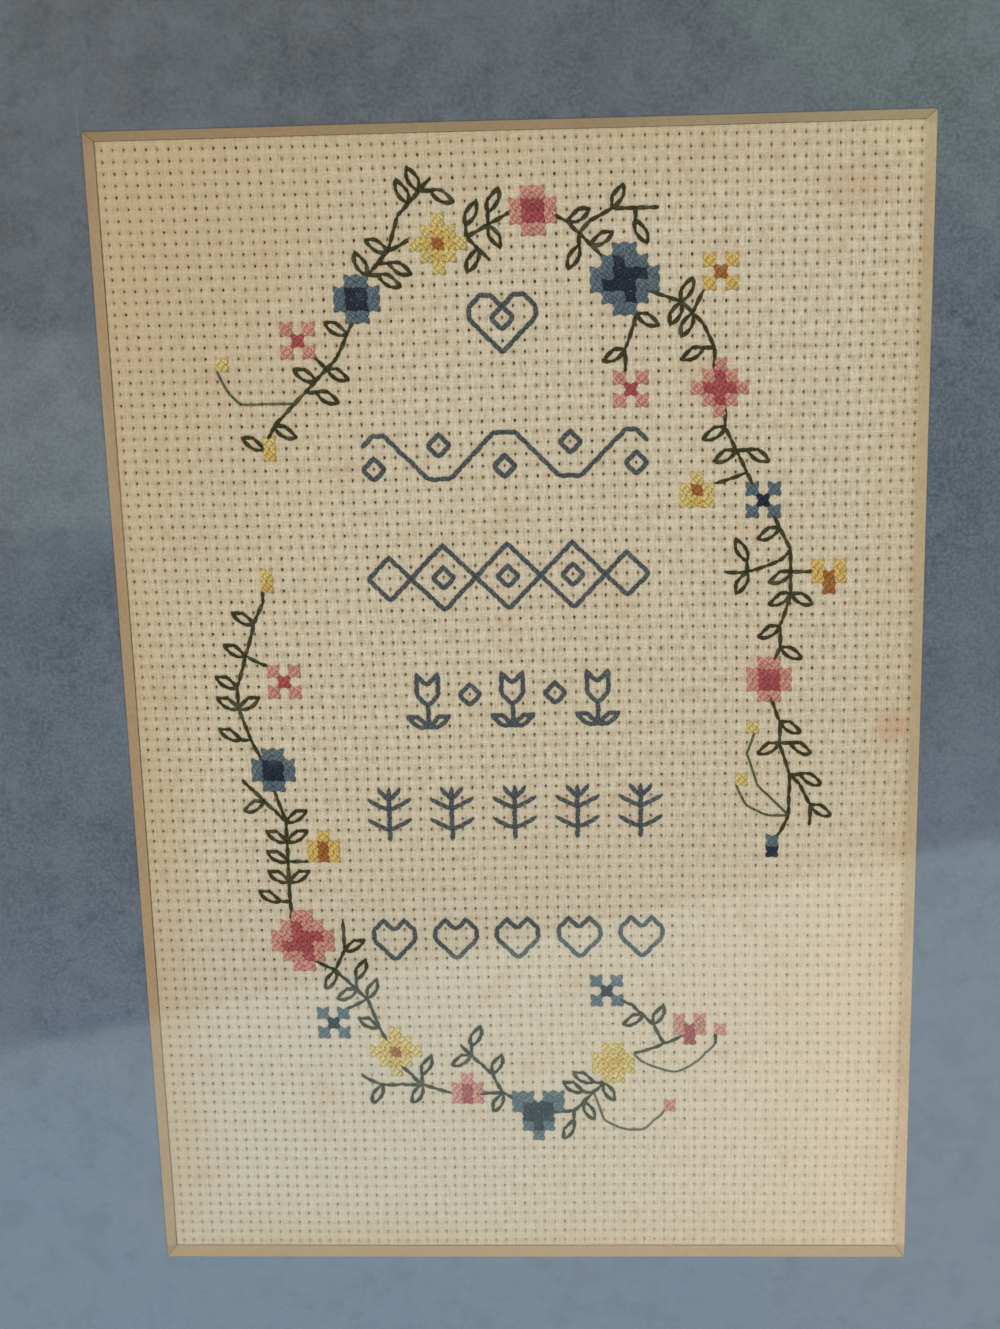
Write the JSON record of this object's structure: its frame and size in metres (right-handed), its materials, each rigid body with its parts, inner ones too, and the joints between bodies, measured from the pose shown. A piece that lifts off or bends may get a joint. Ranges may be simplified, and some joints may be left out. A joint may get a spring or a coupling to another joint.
{
  "type": "cross stitch sampler cloth in a picture frame",
  "caption": "Floral cross stitch sampler on cream cloth, behind glass in a blue bevelled mat and a plain mitred wooden frame.",
  "frame": {"origin": "centre of the frame's back, on the surface that the sampler lies on", "axes": "+X to the right across the picture, +Y up the picture, +Z out of its face"},
  "size_m": [0.2324, 0.2832, 0.015],
  "materials": {
    "frame_wood": "satin walnut stain with a fine straight grain",
    "picture_glass": "clear polished picture glass",
    "mat_paper": "matt blue-grey mottled facing paper on a cream core",
    "mat_core": "matt cream core gone tan, cut at 45 degrees",
    "aida_cloth": "matt cream evenweave cotton, aged",
    "backing_card": "matt brown board",
    "cotton_floss": "softly sheened stranded cotton in several colours"
  },
  "bodies": {
    "root": {"rail_top": "frame_wood", "rail_left": "frame_wood", "rail_bottom": "frame_wood", "rail_right": "frame_wood", "glazing": "picture_glass", "mat_board": "mat_paper", "embroidered_cloth": "aida_cloth", "backing_board": "backing_card"}
  },
  "joints": []
}
